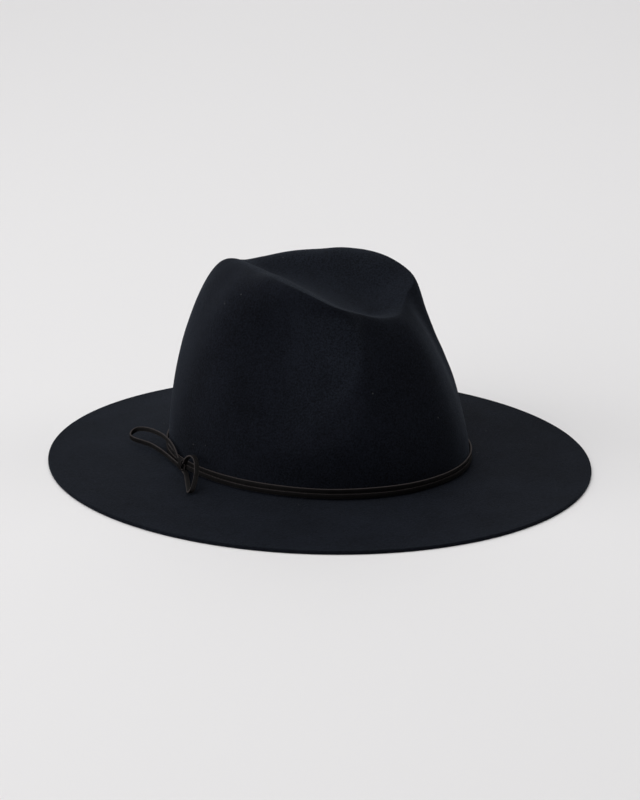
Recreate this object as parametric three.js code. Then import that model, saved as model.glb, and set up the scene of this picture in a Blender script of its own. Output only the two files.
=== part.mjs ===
// Wide-brimmed felt hat with a creased crown and a double lace band tied in a small bow.
// Millimetres, +Z up. The front of the hat looks along -Y, its right side along -X.
// The brim edge rests on the plane z = 0, centred on the origin.
import * as THREE from 'three';
import { mergeVertices } from 'three/addons/utils/BufferGeometryUtils.js';

// Driving dimensions of the felt
const HEAD_LENGTH = 203; // crown base, front to back, outside
const HEAD_WIDTH = 176.4; // crown base, side to side, outside
const CROWN_RISE = 126.5; // brim root to the highest ridge
const BRIM_WIDTH = 78.5;
const BRIM_RISE = 3.6; // how far the brim climbs from its edge to the crown
const BRIM_CURVE = 1.2; // exponent of that climb: 1 is a straight slope
const FELT = 2.4; // felt thickness
const EDGE_LAND = 6; // width of the flat rim that the hat rests on
const ROOT_RADIUS = 1.2; // turn between brim and crown
const RIM_SHIFT = 4.8; // top rim moved to the back

// Driving dimensions of the side dents, one on each side of the crown
const DENT_DEPTH = 16; // into the wall's free curve, at the dent's middle
const DENT_ANGLE = 74; // degrees from the front
const DENT_SPREAD = { front: 37, back: 48 }; // degrees
const DENT_PLACE = { middle: 0.7, above: 0.46, below: 0.46 }; // shares of the crown rise
const DENT_CLIMB = 0.002; // share of the crown rise that its middle climbs in a degree, to the back
const DENT_FADE = 0.5; // last share of the wall, where the dent runs out under the rim
const DENT_EDGE = { crisp: 0.88, soft: 2.8 }; // exponents of the dent's edge, at the front and behind
const DENT_TURN = { from: 0.09, over: 1.1 }; // where the edge turns soft: cosines of the way to the front

// Driving dimensions of the lace
const LACE_WIDTH = 3;
const LACE_THICKNESS = 1.1;
const LACE_ROUND = 0.35; // rounding of its outer corners, as a share of the thickness
const GAP = 0.3; // clearance between touching pieces
const KNOT_ANGLE = 119.7; // degrees from the front, on the right side
const KNOT = { along: 6.4, proud: 3.8, tall: 8.2 };
const LOOP_REACH = 26; // how far the longest loop stands off the crown
const LOOP_LIFT = 11; // how high the long loop climbs above the brim

// Crown sections, front to back. reach: rim as a share of the base outline. rise: rim height as a
// share of the crown rise. skew: how much more the right side's rim rises than that, and the left
// side's less. low and shoulder: how upright the wall starts and how far it bulges under the rim.
// lip: how softly the rim rolls into the crease.
const SECTIONS = [
  { angle: 0, reach: 0.62, rise: 0.797, skew: 0, low: 0.51, shoulder: 0.24, lip: 0.45 },
  { angle: 15, reach: 0.61, rise: 0.808, skew: 0, low: 0.44, shoulder: 0.2, lip: 0.45 },
  { angle: 30, reach: 0.615, rise: 0.845, skew: 0, low: 0.37, shoulder: 0.1, lip: 0.45 },
  { angle: 45, reach: 0.695, rise: 0.896, skew: 0, low: 0.41, shoulder: 0.14, lip: 0.42 },
  { angle: 65, reach: 0.62, rise: 0.968, skew: 0, low: 0.56, shoulder: 0.26, lip: 0.38 },
  { angle: 90, reach: 0.485, rise: 0.998, skew: 0, low: 0.47, shoulder: 0.42, lip: 0.34 },
  { angle: 115, reach: 0.405, rise: 0.988, skew: 0, low: 0.48, shoulder: 0.47, lip: 0.34 },
  { angle: 140, reach: 0.403, rise: 0.981, skew: 0.005, low: 0.45, shoulder: 0.5, lip: 0.34 },
  { angle: 160, reach: 0.475, rise: 0.963, skew: 0.017, low: 0.51, shoulder: 0.56, lip: 0.38 },
  { angle: 170, reach: 0.545, rise: 0.951, skew: 0.021, low: 0.53, shoulder: 0.56, lip: 0.4 },
  { angle: 180, reach: 0.615, rise: 0.94, skew: 0, low: 0.54, shoulder: 0.57, lip: 0.42 },
];

// Bottom of the top crease: a line over the middle of the head, in shares of the half head length
// and of the crown rise.
const CREASE = { front: -0.36, back: 0.34, riseFront: 0.79, riseMiddle: 0.86, riseBack: 0.9 };
const CREASE_FLOOR = 0.45; // how flat the bottom of the crease is

// Bow loops, from the knot out and back. turn: degrees round the crown from the knot. out: distance
// from the crown as a share of LOOP_REACH. lift: height over the brim as a share of LOOP_LIFT.
// lean: degrees by which the lace leans over, from 0 on its edge to 90 on its flat.
const BACK_LOOP = [
  { turn: 2.2, out: 0.14, lift: 0.58, lean: 0 },
  { turn: 9.3, out: 0.07, lift: 0.95, lean: 0 },
  { turn: 18.5, out: 0.08, lift: 1.0, lean: 0 },
  { turn: 26.6, out: 0.21, lift: 0.94, lean: 0 },
  { turn: 34.2, out: 0.51, lift: 0.83, lean: 0 },
  { turn: 38.0, out: 0.81, lift: 0.68, lean: 0 },
  { turn: 37.6, out: 0.97, lift: 0.53, lean: 0 },
  { turn: 35.3, out: 1.0, lift: 0.4, lean: 0 },
  { turn: 33.4, out: 0.86, lift: 0.29, lean: 0 },
  { turn: 29.0, out: 0.48, lift: 0.21, lean: 0 },
  { turn: 22.2, out: 0.25, lift: 0.2, lean: 0 },
  { turn: 14.7, out: 0.14, lift: 0.21, lean: 0 },
  { turn: 7.6, out: 0.13, lift: 0.25, lean: 0 },
  { turn: 2.2, out: 0.14, lift: 0.24, lean: 0 },
];
const FRONT_LOOP = [
  { turn: -2.7, out: 0.16, lift: 0.6, lean: 90 },
  { turn: -4.5, out: 0.15, lift: 1.02, lean: 90 },
  { turn: -7.4, out: 0.15, lift: 1.3, lean: 90 },
  { turn: -10.5, out: 0.2, lift: 1.28, lean: 90 },
  { turn: -13.7, out: 0.35, lift: 1.09, lean: 90 },
  { turn: -16.3, out: 0.54, lift: 0.8, lean: 90 },
  { turn: -18.3, out: 0.76, lift: 0.5, lean: 90 },
  { turn: -19.1, out: 0.9, lift: 0.28, lean: 90 },
  { turn: -18.2, out: 0.92, lift: 0.16, lean: 90 },
  { turn: -15.2, out: 0.72, lift: 0.11, lean: 90 },
  { turn: -9.8, out: 0.42, lift: 0.1, lean: 90 },
  { turn: -4.6, out: 0.2, lift: 0.11, lean: 90 },
  { turn: -2.7, out: 0.17, lift: 0.14, lean: 90 },
];

// Mesh fineness
const SEGMENTS = 72;
const WALL_STEPS = [0.06, 0.13, 0.21, 0.3, 0.4, 0.5, 0.6, 0.69, 0.77, 0.84, 0.9, 0.95, 1];
const TOP_STEPS = [0.08, 0.17, 0.28, 0.42, 0.58, 0.78, 1];
const BRIM_STEPS = [0.82, 0.6, 0.38, 0.18];
const LOOP_STEPS = 44;
const KNOT_FACES = { round: 14, up: 10 };

const halfLength = HEAD_LENGTH / 2;
const halfWidth = HEAD_WIDTH / 2;
const rootHeight = FELT + BRIM_RISE;
const radians = THREE.MathUtils.degToRad;
const smooth = (t) => THREE.MathUtils.smoothstep(t, 0, 1);
const mix = (a, b, t) => THREE.MathUtils.lerp(a, b, t);

// Angles run from 0 at the front through the right side to 180 at the back and on to 360.
const folded = (angle) => (angle <= 180 ? angle : 360 - angle);

// Cubic curve through a table's column, level at the front and the back.
function follow(table, column, angle) {
  const rows = [
    { angle: -table[1].angle, value: table[1][column] },
    ...table.map((row) => ({ angle: row.angle, value: row[column] })),
    { angle: 360 - table.at(-2).angle, value: table.at(-2)[column] },
  ];
  const steps = rows.slice(1).map((row, i) => row.angle - rows[i].angle);
  const rates = rows.slice(1).map((row, i) => (row.value - rows[i].value) / steps[i]);
  const slope = (i) => (rates[i - 1] * steps[i] + rates[i] * steps[i - 1]) / (steps[i - 1] + steps[i]);
  let i = 1;
  while (i < rows.length - 3 && angle >= rows[i + 1].angle) i += 1;
  const h = steps[i];
  const t = (angle - rows[i].angle) / h;
  const start = (2 * t ** 3 - 3 * t ** 2 + 1) * rows[i].value + (t ** 3 - 2 * t ** 2 + t) * h * slope(i);
  const end = (3 * t ** 2 - 2 * t ** 3) * rows[i + 1].value + (t ** 3 - t ** 2) * h * slope(i + 1);
  return start + end;
}

// A point of an oval around the head, whose half axes are the crown's grown by a margin.
function oval(angle, margin, height) {
  const turn = radians(angle);
  return new THREE.Vector3(
    -(halfWidth + margin) * Math.sin(turn),
    -(halfLength + margin) * Math.cos(turn),
    height,
  );
}

// A point at a true distance from the foot of the crown.
function besideCrown(angle, distance, height) {
  const foot = oval(angle, 0, height);
  const outward = new THREE.Vector3(foot.x / halfWidth ** 2, foot.y / halfLength ** 2, 0).normalize();
  return foot.addScaledVector(outward, distance);
}

// Height of the brim's upper face at a distance from the crown.
function brimTop(distance) {
  const sloping = BRIM_WIDTH - EDGE_LAND;
  const share = THREE.MathUtils.clamp(1 - distance / sloping, 0, 1);
  return FELT + BRIM_RISE * share ** BRIM_CURVE;
}

function bezier(a, b, c, d, t) {
  return new THREE.CubicBezierCurve3(a, b, c, d).getPoint(t);
}

// How far the side dent pushes the wall in, at an angle, a height share and a share of the wall.
function dentDepth(angle, height, along) {
  const ahead = (DENT_ANGLE - angle) / DENT_SPREAD.front;
  const across = angle < DENT_ANGLE ? ahead : (angle - DENT_ANGLE) / DENT_SPREAD.back;
  const over = height - DENT_PLACE.middle - DENT_CLIMB * (angle - DENT_ANGLE);
  const up = over > 0 ? over / DENT_PLACE.above : over / DENT_PLACE.below;
  const inside = Math.max(0, 1 - across ** 2 - up ** 2);
  const facing = ahead / (Math.hypot(ahead, up) || 1);
  const softness = smooth((DENT_TURN.from - facing) / DENT_TURN.over);
  const exponent = mix(DENT_EDGE.crisp, DENT_EDGE.soft, softness);
  return DENT_DEPTH * inside ** exponent * smooth((1 - along) / DENT_FADE);
}

// The line at the bottom of the top crease, and its slope.
function creaseLine(angle) {
  const middle = (CREASE.front + CREASE.back) / 2;
  const half = (CREASE.back - CREASE.front) / 2;
  const t = -Math.cos(radians(angle));
  const tilt = (CREASE.riseBack - CREASE.riseFront) / 2;
  const bend = (CREASE.riseBack + CREASE.riseFront) / 2 - CREASE.riseMiddle;
  const rise = CREASE.riseMiddle + tilt * t + bend * t * t;
  const slope = ((tilt + 2 * bend * t) * CROWN_RISE) / (half * halfLength);
  const point = new THREE.Vector3(0, (middle + half * t) * halfLength, rootHeight + rise * CROWN_RISE);
  return { point, slope };
}

// One section of the felt's upper face, from the brim's edge over the rim to the crease line.
function feltSection(angle) {
  const a = folded(angle);
  const at = (column) => follow(SECTIONS, column, a);
  const foot = oval(angle, 0, rootHeight);
  const outward = new THREE.Vector3(foot.x, foot.y, 0).normalize();
  const rightSide = angle <= 180;
  const rise = (at('rise') + (rightSide ? at('skew') : -at('skew'))) * CROWN_RISE;
  const reach = at('reach');
  const rim = new THREE.Vector3(foot.x * reach, foot.y * reach + RIM_SHIFT, rootHeight + rise);
  const lean = Math.hypot(foot.x - rim.x, foot.y - rim.y);
  const upright = foot.clone().add(new THREE.Vector3(0, 0, at('low') * rise));
  const shoulder = rim.clone().addScaledVector(outward, at('shoulder') * lean);

  const points = [BRIM_WIDTH, BRIM_WIDTH - EDGE_LAND / 2, BRIM_WIDTH - EDGE_LAND].map((margin) =>
    oval(angle, margin, FELT));
  for (const share of BRIM_STEPS) {
    const margin = share * (BRIM_WIDTH - EDGE_LAND);
    points.push(oval(angle, margin, brimTop(margin)));
  }
  for (const turn of [0, 30, 60, 90]) {
    const back = ROOT_RADIUS * (1 - Math.sin(radians(turn)));
    const up = ROOT_RADIUS * (1 - Math.cos(radians(turn)));
    points.push(oval(angle, back, brimTop(ROOT_RADIUS) + up));
  }
  for (const along of WALL_STEPS) {
    const point = bezier(foot, upright, shoulder, rim, along);
    const height = (point.z - rootHeight) / CROWN_RISE;
    points.push(point.addScaledVector(outward, -dentDepth(a, height, along)));
  }
  const { point: bottom, slope } = creaseLine(a);
  const toRim = new THREE.Vector3(rim.x - bottom.x, rim.y - bottom.y, 0);
  const roll = rim.clone().addScaledVector(outward, -at('lip') * toRim.length());
  const flat = toRim.clone().multiplyScalar(CREASE_FLOOR);
  flat.z = flat.y * slope;
  for (const along of TOP_STEPS) points.push(bezier(rim, roll, bottom.clone().add(flat), bottom, along));
  return points;
}

// Mesh from a list of corners and the faces between them.
function solid(corners, faces) {
  const geometry = new THREE.BufferGeometry();
  const places = corners.flatMap((corner) => corner.toArray());
  geometry.setAttribute('position', new THREE.Float32BufferAttribute(places, 3));
  geometry.setIndex(faces.flat());
  return geometry;
}

// The same mesh with its corners merged where they meet, and without those that no face uses.
function weld(geometry) {
  const loose = geometry.toNonIndexed();
  loose.deleteAttribute('normal');
  loose.deleteAttribute('uv');
  return mergeVertices(loose);
}

// Two triangles for a four-cornered face.
const quad = (a, b, c, d) => [a, b, c, a, c, d];

// The whole felt: an upper skin, a lower skin one felt thickness under it, and the cut brim edge.
function feltGeometry() {
  const sections = Array.from({ length: SEGMENTS }, (_, i) => feltSection((i * 360) / SEGMENTS));
  const rings = sections[0].length;
  const last = rings - 1;
  const corner = (i, ring) => {
    const turn = i % SEGMENTS;
    return (ring === last ? Math.min(turn, SEGMENTS - turn) : turn) * rings + ring;
  };
  const upper = sections.flat();
  const faces = [];
  for (let i = 0; i < SEGMENTS; i += 1) {
    for (let ring = 0; ring < last; ring += 1) {
      const next = ring + 1;
      faces.push(quad(corner(i, ring), corner(i, next), corner(i + 1, next), corner(i + 1, ring)));
    }
  }
  const skin = solid(upper, faces);
  skin.computeVertexNormals();
  const normals = skin.getAttribute('normal');
  const lower = upper.map((p, i) => p.clone().addScaledVector(
    new THREE.Vector3(normals.getX(i), normals.getY(i), normals.getZ(i)), -FELT));
  const under = faces.map((face) => face.map((index) => index + upper.length).reverse());
  const edge = Array.from({ length: SEGMENTS }, (_, i) => {
    const here = corner(i, 0);
    const next = corner(i + 1, 0);
    return quad(here, next, next + upper.length, here + upper.length);
  });
  return weld(solid([...upper, ...lower], [...faces, ...under, ...edge]));
}

// One strand of the band: a flat lace in a closed ring round the foot of the crown.
function bandGeometry(bottom) {
  const inner = GAP;
  const outer = GAP + LACE_THICKNESS;
  const round = LACE_THICKNESS * LACE_ROUND;
  const section = [
    [inner, bottom],
    [outer - round, bottom],
    [outer, bottom + round],
    [outer, bottom + LACE_WIDTH - round],
    [outer - round, bottom + LACE_WIDTH],
    [inner, bottom + LACE_WIDTH],
  ];
  const corners = [];
  const faces = [];
  for (let i = 0; i < SEGMENTS; i += 1) {
    for (const [distance, height] of section) {
      corners.push(besideCrown((i * 360) / SEGMENTS, distance, height));
    }
    for (let k = 0; k < section.length; k += 1) {
      const l = (k + 1) % section.length;
      const here = i * section.length;
      const next = ((i + 1) % SEGMENTS) * section.length;
      faces.push(quad(here + k, here + l, next + l, next + k));
    }
  }
  return solid(corners, faces);
}

// A bow loop: a flat lace swept along a smooth path of rows from the knot out and back.
function loopGeometry(rows) {
  const places = rows.map((row) => {
    const distance = row.out * LOOP_REACH;
    return besideCrown(KNOT_ANGLE + row.turn, distance, brimTop(distance) + row.lift * LOOP_LIFT);
  });
  const path = new THREE.CatmullRomCurve3(places, false, 'centripetal');
  const far = places.reduce((a, b) => (b.distanceTo(places[0]) > a.distanceTo(places[0]) ? b : a));
  const up = new THREE.Vector3(0, 0, 1);
  const across = new THREE.Vector3().crossVectors(up, far.clone().sub(places[0])).normalize();
  const corners = [];
  const faces = [];
  for (let i = 0; i <= LOOP_STEPS; i += 1) {
    const t = i / LOOP_STEPS;
    const centre = path.getPoint(t);
    const tangent = path.getTangent(t);
    const row = t * (rows.length - 1);
    const before = Math.min(Math.floor(row), rows.length - 2);
    const lean = radians(mix(rows[before].lean, rows[before + 1].lean, smooth(row - before)));
    const wide = up.clone().multiplyScalar(Math.cos(lean)).addScaledVector(across, Math.sin(lean));
    wide.addScaledVector(tangent, -wide.dot(tangent)).normalize();
    const thin = new THREE.Vector3().crossVectors(tangent, wide).normalize();
    for (const [w, h] of [[-1, -1], [1, -1], [1, 1], [-1, 1]]) {
      corners.push(centre.clone()
        .addScaledVector(wide, (w * LACE_WIDTH) / 2)
        .addScaledVector(thin, (h * LACE_THICKNESS) / 2));
    }
  }
  for (let i = 0; i < LOOP_STEPS; i += 1) {
    for (let k = 0; k < 4; k += 1) {
      const l = (k + 1) % 4;
      faces.push(quad(4 * i + k, 4 * i + l, 4 * i + 4 + l, 4 * i + 4 + k));
    }
  }
  const end = 4 * LOOP_STEPS;
  faces.push(quad(0, 3, 2, 1), quad(end, end + 1, end + 2, end + 3));
  return solid(corners, faces);
}

// The knot: an oval lump of wound lace, built round its own centre.
function knotGeometry() {
  const ball = new THREE.SphereGeometry(1, KNOT_FACES.round, KNOT_FACES.up);
  ball.scale(KNOT.along / 2, KNOT.tall / 2, KNOT.proud / 2);
  return weld(ball);
}

const feltMaterial = new THREE.MeshStandardMaterial({ color: 0x12151c, roughness: 0.96, metalness: 0 });
const laceMaterial = new THREE.MeshStandardMaterial({ color: 0x1c1817, roughness: 0.6, metalness: 0 });

function named(name, geometry, material) {
  const mesh = new THREE.Mesh(geometry, material);
  mesh.name = name;
  return mesh;
}

const hat = new THREE.Group();
hat.add(named('felt_body', feltGeometry(), feltMaterial));

// The band sits on the brim's root, its two strands one above the other.
const bandFoot = rootHeight + ROOT_RADIUS;
hat.add(named('band_lace_lower', bandGeometry(bandFoot), laceMaterial));
hat.add(named('band_lace_upper', bandGeometry(bandFoot + LACE_WIDTH + GAP), laceMaterial));

const knot = named('bow_knot', knotGeometry(), laceMaterial);
const knotHeight = bandFoot + LACE_WIDTH + GAP / 2;
const knotOut = GAP + LACE_THICKNESS + GAP + KNOT.proud / 2;
knot.position.copy(besideCrown(KNOT_ANGLE, knotOut, knotHeight));
const knotFoot = besideCrown(KNOT_ANGLE, 0, knotHeight);
knot.up.set(0, 0, 1);
knot.lookAt(knot.position.clone().multiplyScalar(2).sub(knotFoot));
hat.add(knot);

hat.add(named('bow_loop_back', loopGeometry(BACK_LOOP), laceMaterial));
hat.add(named('bow_loop_front', loopGeometry(FRONT_LOOP), laceMaterial));

export default hat;
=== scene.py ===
import math

import bpy
import numpy as np
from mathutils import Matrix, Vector, noise


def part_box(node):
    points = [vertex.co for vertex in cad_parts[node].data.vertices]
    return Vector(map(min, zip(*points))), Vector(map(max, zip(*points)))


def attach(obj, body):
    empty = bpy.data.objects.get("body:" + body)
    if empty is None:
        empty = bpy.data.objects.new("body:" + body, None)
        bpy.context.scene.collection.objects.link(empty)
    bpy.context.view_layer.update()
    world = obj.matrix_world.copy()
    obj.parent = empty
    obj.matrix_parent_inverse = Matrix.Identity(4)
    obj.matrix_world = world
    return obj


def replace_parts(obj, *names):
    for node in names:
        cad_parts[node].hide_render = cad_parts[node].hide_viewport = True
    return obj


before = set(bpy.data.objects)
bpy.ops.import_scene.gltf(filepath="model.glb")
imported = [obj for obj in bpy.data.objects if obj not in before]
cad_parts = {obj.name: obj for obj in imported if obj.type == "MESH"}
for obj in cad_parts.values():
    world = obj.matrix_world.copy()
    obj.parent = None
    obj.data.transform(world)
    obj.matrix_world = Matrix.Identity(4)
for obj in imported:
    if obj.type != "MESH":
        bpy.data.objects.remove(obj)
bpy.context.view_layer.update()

# The camera stands to the right of the hat and a little before it, above the brim, with a long
# lens. The hat's front points to the lower right of the picture.
camera_turn = math.radians(-57)
camera_rise = math.radians(18.16)
camera_distance = 1.8
focal_pixels = 2785
picture_height = 800
look_right = 0.00122
look_height = 0.04076

camera_data = bpy.data.cameras.new("camera")
camera = bpy.data.objects.new("camera", camera_data)
bpy.context.scene.collection.objects.link(camera)
camera_data.lens = focal_pixels * camera_data.sensor_width / picture_height
camera_data.clip_end = 50
backward = Vector((
    math.sin(camera_turn) * math.cos(camera_rise),
    -math.cos(camera_turn) * math.cos(camera_rise),
    math.sin(camera_rise)))
rightward = Vector((math.cos(camera_turn), math.sin(camera_turn), 0))
target = rightward * look_right + Vector((0, 0, look_height))
camera.location = target + backward * camera_distance
camera.rotation_euler = backward.to_track_quat("Z", "Y").to_euler()
bpy.context.scene.camera = camera


# The felt is one piece: a crown blocked over a form, with a long crease pressed into its top and a
# broad dent into each side, and a wide brim left nearly flat and cut raw at its edge. A row of the
# table is a section of the crown, from the front (0 degrees) round the right side to the back.
felt_low, felt_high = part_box("felt_body")
felt_thick = 0.0024
brim_width = 0.0785
brim_rise = 0.0036
brim_curve = 1.2
edge_land = 0.006
edge_round = 0.0007
edge_shoulder = 0.0004
edge_drop = 0.00012
edge_lift = 0.00008
edge_side = 0.0005
wave_broad = 0.0006
wave_fine = 0.00015
waves_broad_per_metre = 22
waves_fine_per_metre = 70
wave_free_rings = 10
root_radius = 0.0012
rim_shift = 0.0048
crown_rise = 0.1265
dent_depth = 0.016
dent_angle = 74
dent_front = 37
dent_back = 48
dent_middle = 0.7
dent_above = 0.46
dent_below = 0.46
dent_climb = 0.002
dent_fade = 0.5
dent_crisp = 0.88
dent_soft = 2.8
dent_turns_from = 0.09
dent_turns_over = 1.1
# Painted light: the felt's colour is painted lighter inside each side dent, most just inside the dent's
# front border and fading towards the back.
painted_light_angle = 85
painted_light_front = 51
painted_light_back = 45
painted_light_until = 115
painted_light_middle = 0.686
painted_light_above = 0.2
painted_light_below = 0.446
painted_light_climb = -0.0018
painted_light_turns_above = 0.9
painted_light_turns_below = 0.45
painted_light_turns_over = 0.6
painted_light_border = 0.09
painted_light_border_soft = 0.6
painted_light_fall = 2.2
sections = {
    "angle":    [0,     15,    30,    45,    65,    90,    115,   140,   160,   170,   180],
    "reach":    [0.62,  0.61,  0.615, 0.695, 0.62,  0.485, 0.405, 0.403, 0.475, 0.545, 0.615],
    "rise":     [0.797, 0.808, 0.845, 0.896, 0.968, 0.998, 0.988, 0.981, 0.963, 0.951, 0.94],
    "skew":     [0,     0,     0,     0,     0,     0,     0,     0.005, 0.017, 0.021, 0],
    "low":      [0.51,  0.44,  0.37,  0.41,  0.56,  0.47,  0.48,  0.45,  0.51,  0.53,  0.54],
    "shoulder": [0.24,  0.2,   0.1,   0.14,  0.26,  0.42,  0.47,  0.5,   0.56,  0.56,  0.57],
    "lip":      [0.45,  0.45,  0.45,  0.42,  0.38,  0.34,  0.34,  0.34,  0.38,  0.4,   0.42],
}
crease_front = -0.36
crease_back = 0.34
crease_rise_front = 0.79
crease_rise_middle = 0.86
crease_rise_back = 0.9
crease_floor = 0.45
# Painted light: the whole top crease is painted this share of the way to the lighter felt colour.
crease_painted_light = 0.7
felt_segments = 144
brim_rings = 23
wall_rings = 30
top_rings = 16

crown_half_length = felt_high.y - brim_width
crown_half_width = felt_high.x - brim_width
root_height = felt_thick + brim_rise


def smooth(share):
    """An S-shaped step from 0 to 1."""
    share = min(max(share, 0), 1)
    return share * share * (3 - 2 * share)


def follow(column, angle):
    """A smooth curve through a column of the sections, level at the front and the back."""
    angles = sections["angle"]
    values = sections[column]
    angles = [-angles[1]] + angles + [360 - angles[-2]]
    values = [values[1]] + values + [values[-2]]
    steps = np.diff(angles)
    rates = np.diff(values) / steps
    row = 1
    while row < len(angles) - 3 and angle >= angles[row + 1]:
        row += 1

    def slope(i):
        return (rates[i - 1] * steps[i] + rates[i] * steps[i - 1]) / (steps[i - 1] + steps[i])

    step = steps[row]
    t = (angle - angles[row]) / step
    start = (2 * t**3 - 3 * t**2 + 1) * values[row] + (t**3 - 2 * t**2 + t) * step * slope(row)
    end = (3 * t**2 - 2 * t**3) * values[row + 1] + (t**3 - t**2) * step * slope(row + 1)
    return start + end


def oval(angle, margin, height):
    """A point of the crown's oval foot, grown by a margin."""
    turn = math.radians(angle)
    across = -(crown_half_width + margin) * math.sin(turn)
    return Vector((across, -(crown_half_length + margin) * math.cos(turn), height))


def beside_crown(angle, distance, height):
    """A point at a true distance from the foot of the crown."""
    foot = oval(angle, 0, height)
    outward = Vector((foot.x / crown_half_width**2, foot.y / crown_half_length**2, 0)).normalized()
    return foot + outward * distance


def brim_top(distance):
    """Height of the brim's upper face at a distance from the crown."""
    share = min(max(1 - distance / (brim_width - edge_land), 0), 1)
    return felt_thick + brim_rise * share**brim_curve


def bezier(a, b, c, d, t):
    """A point of a curve from a to d."""
    return a * (1 - t)**3 + b * 3 * t * (1 - t)**2 + c * 3 * t * t * (1 - t) + d * t**3


def dent(angle, height, along):
    """How far a side dent pushes the wall in."""
    ahead = (dent_angle - angle) / dent_front
    across = ahead if angle < dent_angle else (angle - dent_angle) / dent_back
    over = height - dent_middle - dent_climb * (angle - dent_angle)
    up = over / dent_above if over > 0 else over / dent_below
    inside = max(0, 1 - across**2 - up**2)
    facing = ahead / (math.hypot(ahead, up) or 1)
    softness = smooth((dent_turns_from - facing) / dent_turns_over)
    exponent = dent_crisp + (dent_soft - dent_crisp) * softness
    return dent_depth * inside**exponent * smooth((1 - along) / dent_fade)


def painted_dent_light(angle, height):
    """How much lighter the wall's colour is painted, as painted light on the dent's wall: most just
    inside the dent's front border, then less and less to the back."""
    ahead = (painted_light_angle - angle) / (painted_light_front if angle < painted_light_angle else painted_light_back)
    over = height - painted_light_middle - painted_light_climb * (angle - painted_light_angle)
    up = over / painted_light_above if over > 0 else over / painted_light_below
    facing = ahead / (math.hypot(ahead, up) or 1)
    turns_from = painted_light_turns_above if over > 0 else painted_light_turns_below
    softness = smooth((turns_from - facing) / painted_light_turns_over)
    border = smooth((1 - math.hypot(ahead, up)) / (painted_light_border + painted_light_border_soft * softness))
    reach = painted_light_until - painted_light_angle + painted_light_front
    return border * smooth((painted_light_until - angle) / reach)**painted_light_fall


def crease_line(angle):
    """The line along the bottom of the top crease, and its slope."""
    middle = (crease_front + crease_back) / 2
    half = (crease_back - crease_front) / 2
    t = -math.cos(math.radians(angle))
    tilt = (crease_rise_back - crease_rise_front) / 2
    bend = (crease_rise_back + crease_rise_front) / 2 - crease_rise_middle
    rise = crease_rise_middle + tilt * t + bend * t * t
    slope = (tilt + 2 * bend * t) * crown_rise / (half * crown_half_length)
    return Vector((0, (middle + half * t) * crown_half_length, root_height + rise * crown_rise)), slope


def felt_section(angle):
    """One section of the felt's upper face, from the cut edge over the rim to the crease line."""
    folded = angle if angle <= 180 else 360 - angle
    reach, rise, skew, low, shoulder, lip = (follow(column, folded) for column in list(sections)[1:])
    rise = rise + skew if angle <= 180 else rise - skew
    foot = oval(angle, 0, root_height)
    outward = Vector((foot.x, foot.y, 0)).normalized()
    rise = rise * crown_rise
    rim = Vector((foot.x * reach, foot.y * reach + rim_shift, root_height + rise))
    lean = (foot - rim).xy.length
    upright = foot + Vector((0, 0, low * rise))
    bulge = rim + outward * (shoulder * lean)
    line = []
    root_turns = (25, 50, 75)
    for margin in np.linspace(brim_width - edge_round, root_radius, brim_rings - len(root_turns)):
        line.append(oval(angle, margin, brim_top(margin)))
    for turn in root_turns:
        back = root_radius * (1 - math.sin(math.radians(turn)))
        up = root_radius * (1 - math.cos(math.radians(turn)))
        line.append(oval(angle, back, brim_top(root_radius) + up))
    for along in np.linspace(0.012, 1, wall_rings):
        point = bezier(foot, upright, bulge, rim, along)
        line.append(point - outward * dent(folded, (point.z - root_height) / crown_rise, along))
    bottom, slope = crease_line(folded)
    to_rim = Vector((rim.x - bottom.x, rim.y - bottom.y, 0))
    roll = rim - outward * (lip * to_rim.length)
    flat = to_rim * crease_floor
    flat.z = flat.y * slope
    for along in np.linspace(0.07, 1, top_rings):
        line.append(bezier(rim, roll, bottom + flat, bottom, along))
    return line


def mesh_piece(name, corners, faces):
    """A smooth-shaded mesh object from corners and faces, outward side out."""
    mesh = bpy.data.meshes.new(name)
    mesh.from_pydata([tuple(corner) for corner in corners], [], faces)
    mesh.validate()
    mesh.polygons.foreach_set("use_smooth", [True] * len(mesh.polygons))
    piece = bpy.data.objects.new(name, mesh)
    bpy.context.scene.collection.objects.link(piece)
    return piece


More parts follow.
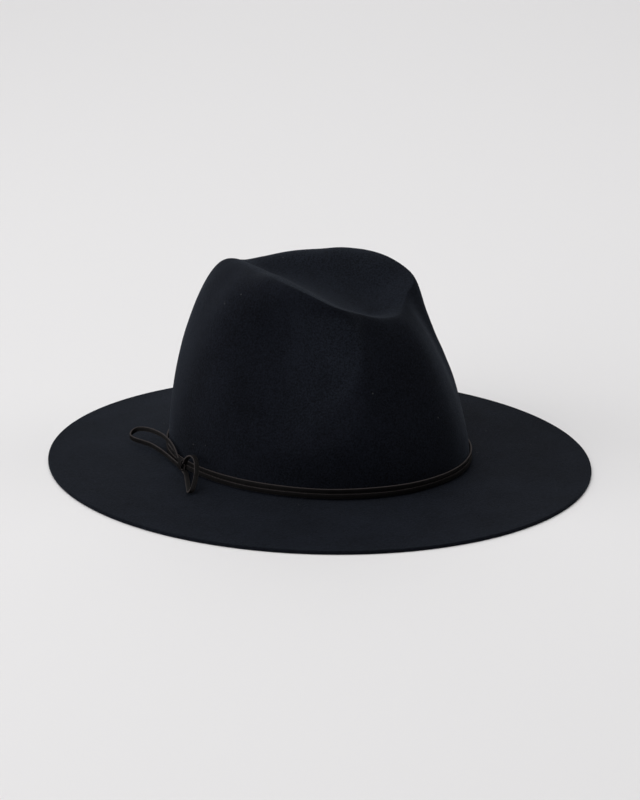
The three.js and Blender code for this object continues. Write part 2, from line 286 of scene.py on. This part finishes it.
def felt_mesh():
    """Upper skin, cut edge and lower skin, one felt thickness apart."""
    lines = [felt_section(i * 360 / felt_segments) for i in range(felt_segments)]
    rings = len(lines[0])
    grid = np.array([[tuple(point) for point in line] for line in lines])
    round_way = np.roll(grid, -1, axis=0) - np.roll(grid, 1, axis=0)
    up_way = np.gradient(grid, axis=1)
    normals = np.cross(up_way, round_way)
    normals[0, -1] = normals[0, -2]
    normals[felt_segments // 2, -1] = normals[felt_segments // 2, -2]
    normals /= np.linalg.norm(normals, axis=2, keepdims=True)
    mirrored = normals[(-np.arange(felt_segments)) % felt_segments, -1]
    normals[:, -1] = normals[:, -1] + mirrored
    normals[:, -1] /= np.linalg.norm(normals[:, -1], axis=1, keepdims=True)
    corners = []
    for i in range(felt_segments):
        for j in range(rings):
            point = Vector(grid[i, j])
            broad = noise.noise(point * waves_broad_per_metre) * wave_broad
            fine = noise.noise(point * waves_fine_per_metre) * wave_fine
            bump = broad + fine
            share = smooth(j / wave_free_rings)
            corners.append(point + Vector(normals[i, j]) * (bump * share))
    upper = np.array([tuple(corner) for corner in corners]).reshape(grid.shape)
    lower = upper - normals * felt_thick
    lower[:, :, 2] = np.maximum(lower[:, :, 2], 0.00002)

    rounding = []
    for i in range(felt_segments):
        top, under = Vector(upper[i, 0]), Vector(lower[i, 0])
        outward = (Vector((top.x, top.y, 0))).normalized()
        ring = [top + outward * edge_shoulder - Vector((0, 0, edge_drop)),
                top + outward * edge_round - Vector((0, 0, edge_side)),
                under + outward * edge_round + Vector((0, 0, edge_side)),
                under + outward * edge_shoulder + Vector((0, 0, edge_lift))]
        rounding.append(ring)
    count = felt_segments * rings
    points = [tuple(p) for p in upper.reshape(-1, 3)] + [tuple(p) for p in lower.reshape(-1, 3)]
    for ring in rounding:
        points.extend(tuple(p) for p in ring)

    def corner(i, j, under=0):
        i = i % felt_segments
        if j == rings - 1:
            i = min(i, felt_segments - i)
        return under * count + i * rings + j

    def edge(i, k):
        if k == 0:
            return corner(i, 0)
        if k == 5:
            return corner(i, 0, 1)
        return 2 * count + (i % felt_segments) * 4 + k - 1

    faces = []
    for i in range(felt_segments):
        for j in range(rings - 1):
            faces.append((corner(i, j), corner(i, j + 1), corner(i + 1, j + 1), corner(i + 1, j)))
            faces.append((corner(i, j, 1), corner(i + 1, j, 1),
                          corner(i + 1, j + 1, 1), corner(i, j + 1, 1)))
        for k in range(5):
            faces.append((edge(i, k), edge(i + 1, k), edge(i + 1, k + 1), edge(i, k + 1)))
    # Painted light: how much lighter the felt is painted, on the side dents' walls and over the whole top
    # crease.
    pale = [0.0] * len(points)
    for i in range(felt_segments):
        angle = i * 360 / felt_segments
        folded = min(angle, 360 - angle)
        for j in range(brim_rings, rings):
            height = (grid[i, j, 2] - root_height) / crown_rise
            on_wall = j < brim_rings + wall_rings - 1
            pale[i * rings + j] = painted_dent_light(folded, height) if on_wall else crease_painted_light
    used = sorted({index for face in faces for index in face})
    place = {index: at for at, index in enumerate(used)}
    faces = [tuple(place[index] for index in face) for face in faces]
    piece = mesh_piece("felt_hat", [points[index] for index in used], faces)
    layer = piece.data.attributes.new("pale", "FLOAT", "POINT")
    layer.data.foreach_set("value", [pale[index] for index in used])
    return piece


class Shade:
    """A socket of a material's nodes. Arithmetic on it adds Math nodes."""

    def __init__(self, tree, socket=None):
        self.tree = tree
        self.socket = socket

    def node(self, kind, settings=None, sockets=None, output=0):
        """Adds a node: its settings are set first, then its sockets' values or links."""
        made = self.tree.nodes.new("ShaderNode" + kind)
        for name, value in (settings or {}).items():
            if name == "stops":
                ramp = made.color_ramp.elements
                for place, stop in enumerate(value):
                    element = ramp[place] if place < 2 else ramp.new(stop[0])
                    element.position = stop[0]
                    element.color = stop[1]
            else:
                setattr(made, name, value)
        for name, value in (sockets or {}).items():
            if isinstance(value, Shade):
                self.tree.links.new(value.socket, made.inputs[name])
            else:
                made.inputs[name].default_value = value
        return Shade(self.tree, made.outputs[output])

    def math(self, operation, *values):
        """A Math node of an operation on this value and others."""
        sockets = dict(enumerate((self,) + values))
        return self.node("Math", {"operation": operation}, sockets)

    def __add__(self, other):
        return self.math("ADD", other)

    def __radd__(self, other):
        return self.math("ADD", other)

    def __sub__(self, other):
        return self.math("SUBTRACT", other)

    def __rsub__(self, other):
        return (self * -1).math("ADD", other)

    def __mul__(self, other):
        return self.math("MULTIPLY", other)

    def __rmul__(self, other):
        return self.math("MULTIPLY", other)

    def between(self, low, high):
        """A smooth step from 0 at low to 1 at high."""
        return self.node("MapRange", {"interpolation_type": "SMOOTHSTEP"},
                         {"Value": self, "From Min": low, "From Max": high})

    def mix(self, low, high):
        """A colour between two others, by this value."""
        return self.node("Mix", {"data_type": "RGBA"}, {"Factor": self, 6: low, 7: high}, 2)


def start_material(name):
    """An empty material, and its place in object space in metres."""
    material = bpy.data.materials.new(name)
    material.use_nodes = True
    material.node_tree.nodes.clear()
    shade = Shade(material.node_tree)
    return material, shade, shade.node("TexCoord", output="Object")


def finish_material(shade, sockets):
    """Adds the surface shader with its sockets and joins it to the output."""
    surface = shade.node("BsdfPrincipled", sockets=sockets)
    output = shade.tree.nodes.new("ShaderNodeOutputMaterial")
    shade.tree.links.new(surface.socket, output.inputs["Surface"])


def felt_material():
    """Brushed wool felt, near-black navy, with a fine nap, loose fibres and a few pale specks, and
    painted light: its colour is painted lighter inside the side dents and over the top crease.
    """
    dark = (0.0014, 0.0017, 0.0029, 1)
    light = (0.0064, 0.0078, 0.0124, 1)
    # Painted light: the lighter felt colours, mixed in where the pale attribute paints light on the dents
    # and the crease.
    painted_lit_dark = (0.0034, 0.0041, 0.0060, 1)
    painted_lit_light = (0.0122, 0.0150, 0.0220, 1)
    speck_colour = (0.05, 0.052, 0.055, 1)
    material, shade, place = start_material("wool_felt")
    clouds = shade.node("TexNoise", sockets={"Vector": place, "Scale": 28, "Detail": 3})
    nap = shade.node("TexNoise", sockets={"Vector": place, "Scale": 900, "Detail": 3, "Roughness": 0.65})
    fibre = shade.node("TexNoise", sockets={
        "Vector": place, "Scale": 420, "Detail": 2, "Distortion": 2.5})
    tone = (0.2 * clouds + 0.53 * nap + 0.27 * fibre).between(0.36, 0.64)
    pale = shade.node("Attribute", {"attribute_name": "pale"}, output="Fac")
    cloth = pale.mix(tone.mix(dark, light), tone.mix(painted_lit_dark, painted_lit_light))
    cell = shade.node("TexVoronoi", {"feature": "F1"}, {"Vector": place, "Scale": 160})
    chance = shade.node("TexVoronoi", {"feature": "F1"}, {"Vector": place, "Scale": 160}, output=1)
    speck = (1 - cell.between(0.03, 0.11)) * chance.between(0.84, 0.86)
    colour = speck.mix(cloth, speck_colour)
    height = 0.6 * nap + 0.4 * fibre
    normal = shade.node("Bump", sockets={"Strength": 0.9, "Distance": 0.0005, "Height": height})
    finish_material(shade, {
        "Base Color": colour,
        "Roughness": 0.95,
        "Specular IOR Level": 0.07,
        "Sheen Weight": 0.054,
        "Sheen Roughness": 0.4,
        "Sheen Tint": (0.62, 0.76, 1.0, 1),
        "Normal": normal})
    return material


felt = felt_mesh()
felt_fineness = felt.modifiers.new("fineness", "SUBSURF")
felt_fineness.levels = 1
felt_fineness.render_levels = 1
felt.data.materials.append(felt_material())
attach(felt, "root")
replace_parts(felt, "felt_body")


# The band is one long flat suede lace, wound twice round the foot of the crown, one turn above the
# other, and tied in the bow. Its cut edges catch the light.
lace_width = 0.003
lace_thick = 0.0011
gap = 0.0003
band_foot = root_height + root_radius
knot_angle = 119.7
band_steps = 240
band_wave_long = 0.00008
band_wave_short = 0.00006
band_slack = 0.00005
band_lean = 0.08
rub_from = 0.36
rub_over = 0.12


def lace_material():
    """Suede lace, brownish black, with a short nap and paler rubbed edges."""
    dark = (0.0022, 0.0018, 0.0019, 1)
    light = (0.040, 0.034, 0.034, 1)
    material, shade, place = start_material("suede_lace")
    nap = shade.node("TexNoise", sockets={"Vector": place, "Scale": 1400, "Detail": 3})
    patch = shade.node("TexNoise", sockets={"Vector": place, "Scale": 160, "Detail": 2})
    rubbed = shade.node("Attribute", {"attribute_name": "rub"}, output="Fac")
    tone = (0.25 * nap + 0.25 * patch + 0.75 * rubbed).between(0.2, 1.05)
    height = 0.7 * nap + 0.3 * patch
    normal = shade.node("Bump", sockets={"Strength": 0.5, "Distance": 0.0003, "Height": height})
    finish_material(shade, {
        "Base Color": tone.mix(dark, light),
        "Roughness": 0.8,
        "Specular IOR Level": 0.1,
        "Sheen Weight": 0.02,
        "Sheen Roughness": 0.45,
        "Normal": normal})
    return material


suede = lace_material()
lace_section = [(-0.5, -0.28), (-0.47, 0.3), (-0.38, 0.5), (0, 0.46), (0.38, 0.5), (0.47, 0.3),
                (0.5, -0.28), (0.4, -0.5), (0, -0.46), (-0.4, -0.5)]


def lace(name, frames, closed):
    """A flat lace through frames of centre, width way and thickness way, with its ends capped."""
    corners = []
    rub = []
    for centre, wide, thin in frames:
        for w, h in lace_section:
            corners.append(centre + wide * (w * lace_width) + thin * (h * lace_thick))
            rub.append(smooth((abs(w) - rub_from) / rub_over))
    ring = len(lace_section)
    faces = []
    steps = len(frames) if closed else len(frames) - 1
    for i in range(steps):
        here, onward = i * ring, ((i + 1) % len(frames)) * ring
        for k in range(ring):
            l = (k + 1) % ring
            faces.append((here + k, here + l, onward + l, onward + k))
    if not closed:
        faces.append(tuple(range(ring))[::-1])
        faces.append(tuple(len(corners) - ring + k for k in range(ring)))
    piece = mesh_piece(name, corners, faces)
    layer = piece.data.attributes.new("rub", "FLOAT", "POINT")
    layer.data.foreach_set("value", rub)
    piece.data.materials.append(suede)
    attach(piece, "root")
    return piece


def band_turn(name, node, bottom, seed):
    """One turn of the band, with the small waves of a hand-wound lace."""
    frames = []
    for i in range(band_steps):
        angle = i * 360 / band_steps
        wave = (band_wave_long * math.sin(math.radians(angle * 7 + seed))
                + band_wave_short * math.sin(math.radians(angle * 11)))
        centre = beside_crown(angle, gap + lace_thick / 2 + band_slack, bottom + lace_width / 2 + wave)
        outward = (beside_crown(angle, 1, 0) - beside_crown(angle, 0, 0)).normalized()
        lean = band_lean * math.sin(math.radians(angle * 5 + seed))
        wide = (Vector((0, 0, 1)) + outward * lean).normalized()
        frames.append((centre, wide, outward))
    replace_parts(lace(name, frames, True), node)


band_turn("band_turn_lower", "band_lace_lower", band_foot, 20)
band_turn("band_turn_upper", "band_lace_upper", band_foot + lace_width + gap, 200)


# The bow is tied on the hat's right side: a small hard knot, a long narrow loop lying back along
# the brim, and a short loop standing out from it. Lengths are shares of how far the loops reach
# from the crown and climb above the brim; lean turns the lace from on edge, 0, to flat, 90.
loop_reach = 0.026
loop_lift = 0.011
back_loop = {
    "turn": [2.2, 9.3, 18.5, 26.6, 34.2, 38.0, 37.6, 35.3, 33.4, 29.0, 22.2, 14.7, 7.6, 2.2],
    "out":  [0.14, 0.07, 0.08, 0.21, 0.51, 0.81, 0.97, 1.0, 0.86, 0.48, 0.25, 0.14, 0.13, 0.14],
    "lift": [0.58, 0.95, 1.0, 0.94, 0.83, 0.68, 0.53, 0.4, 0.29, 0.21, 0.2, 0.21, 0.25, 0.24],
    "lean": 0,
}
front_loop = {
    "turn": [-2.7, -4.5, -7.4, -10.5, -13.7, -16.3, -18.3, -19.1, -18.2, -15.2, -9.8, -4.6, -2.7],
    "out":  [0.16, 0.15, 0.15, 0.2, 0.35, 0.54, 0.76, 0.9, 0.92, 0.72, 0.42, 0.2, 0.17],
    "lift": [0.6, 1.02, 1.3, 1.28, 1.09, 0.8, 0.5, 0.28, 0.16, 0.11, 0.1, 0.11, 0.14],
    "lean": 90,
}


def through(points, t):
    """A point of a smooth curve through points, at t from 0 to 1."""
    row = min(int(t * (len(points) - 1)), len(points) - 2)
    u = t * (len(points) - 1) - row
    before = points[row - 1] if row else points[0] * 2 - points[1]
    after = points[row + 2] if row + 2 < len(points) else points[-1] * 2 - points[-2]
    a, b = points[row], points[row + 1]
    return (a * 2 + (b - before) * u + (before * 2 - a * 5 + b * 4 - after) * u**2
            + (a * 3 - before - b * 3 + after) * u**3) * 0.5


def bow_loop(name, node, rows):
    """A loop of lace along the rows' smooth path."""
    path = []
    for turn, out, lift in zip(rows["turn"], rows["out"], rows["lift"]):
        distance = out * loop_reach
        path.append(beside_crown(knot_angle + turn, distance, brim_top(distance) + lift * loop_lift))
    far = max(path, key=lambda point: (point - path[0]).length)
    upright = Vector((0, 0, 1))
    across = upright.cross(far - path[0]).normalized()
    lean = math.radians(rows["lean"])
    lay = upright * math.cos(lean) + across * math.sin(lean)
    frames = []
    steps = 110
    for i in range(steps + 1):
        t = i / steps
        way = (through(path, min(t + 0.004, 1)) - through(path, max(t - 0.004, 0))).normalized()
        wide = (lay - way * lay.dot(way)).normalized()
        frames.append((through(path, t), wide, way.cross(wide)))
    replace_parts(lace(name, frames, False), node)


bow_loop("long_loop", "bow_loop_back", back_loop)
bow_loop("short_loop", "bow_loop_front", front_loop)


# The knot is the same lace, wound over the band's two turns and the roots of the loops and pulled
# tight, so that it shows as flat turns lying side by side.
knot_proud = 0.0038
knot_tall = 0.0082
knot_turns = 1.75
knot_pitch = 0.0017
knot_centre = beside_crown(knot_angle, gap * 2 + lace_thick + knot_proud / 2,
                           band_foot + lace_width + gap / 2)
knot_outward = (knot_centre - beside_crown(knot_angle, 0, knot_centre.z)).normalized()
knot_along = Vector((0, 0, 1)).cross(knot_outward)


def wound_knot():
    """Lace wound round an oval that stands on edge against the band."""
    frames = []
    steps = 72
    for i in range(steps + 1):
        t = i / steps - 0.5
        turn = 2 * math.pi * knot_turns * t
        radial = (knot_outward * (math.cos(turn) / knot_proud)
                  + Vector((0, 0, 1)) * (math.sin(turn) / knot_tall)).normalized()
        at = (knot_outward * (math.cos(turn) * (knot_proud - lace_thick) / 2)
              + Vector((0, 0, 1)) * (math.sin(turn) * (knot_tall - lace_thick) / 2))
        frames.append((knot_centre + at + knot_along * (t * knot_turns * knot_pitch), knot_along, radial))
    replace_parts(lace("wound_knot", frames, False), "bow_knot")


wound_knot()


# The floor is one wide pale sheet.
def floor_material():
    """Plain matt pale grey."""
    material, shade, place = start_material("pale_floor")
    finish_material(shade, {
        "Base Color": (0.80, 0.79, 0.795, 1),
        "Roughness": 1.0,
        "Specular IOR Level": 0.0})
    return material


floor_half = 8
floor = mesh_piece("floor", [(-floor_half, -floor_half, 0), (floor_half, -floor_half, 0),
                             (floor_half, floor_half, 0), (-floor_half, floor_half, 0)], [(0, 1, 2, 3)])
floor.data.materials.append(floor_material())

# Soft studio light: wide white panels overhead, on the picture's left and behind the hat. Each row
# gives the side it stands on, in degrees from the picture's right round by the back, its height in
# degrees, its width in metres and its power.
panel_distance = 3
panels = {
    "overhead":   (90, 89.8, 2.5, 54),
    "left_front": (215, 30, 3.2, 60),
    "left_low":   (180, 12, 1.5, 21),
    "behind":     (90, 35, 2.5, 28),
    "right":      (0, 30, 2.0, 14),
}
for name, (side, height, width, power) in panels.items():
    panel_data = bpy.data.lights.new(name, "AREA")
    panel_data.shape = "SQUARE"
    panel_data.size = width
    panel_data.energy = power
    panel = bpy.data.objects.new(name, panel_data)
    bpy.context.scene.collection.objects.link(panel)
    around = camera_turn + math.radians(side)
    level = panel_distance * math.cos(math.radians(height))
    panel.location = (level * math.cos(around), level * math.sin(around),
                      panel_distance * math.sin(math.radians(height)))
    panel.rotation_euler = panel.location.to_track_quat("Z", "Y").to_euler()
room = bpy.data.worlds.new("room")
room.use_nodes = True
room.node_tree.nodes["Background"].inputs["Color"].default_value = (1, 1, 1, 1)
room.node_tree.nodes["Background"].inputs["Strength"].default_value = 0
bpy.context.scene.world = room
bpy.context.scene.view_settings.view_transform = "Standard"
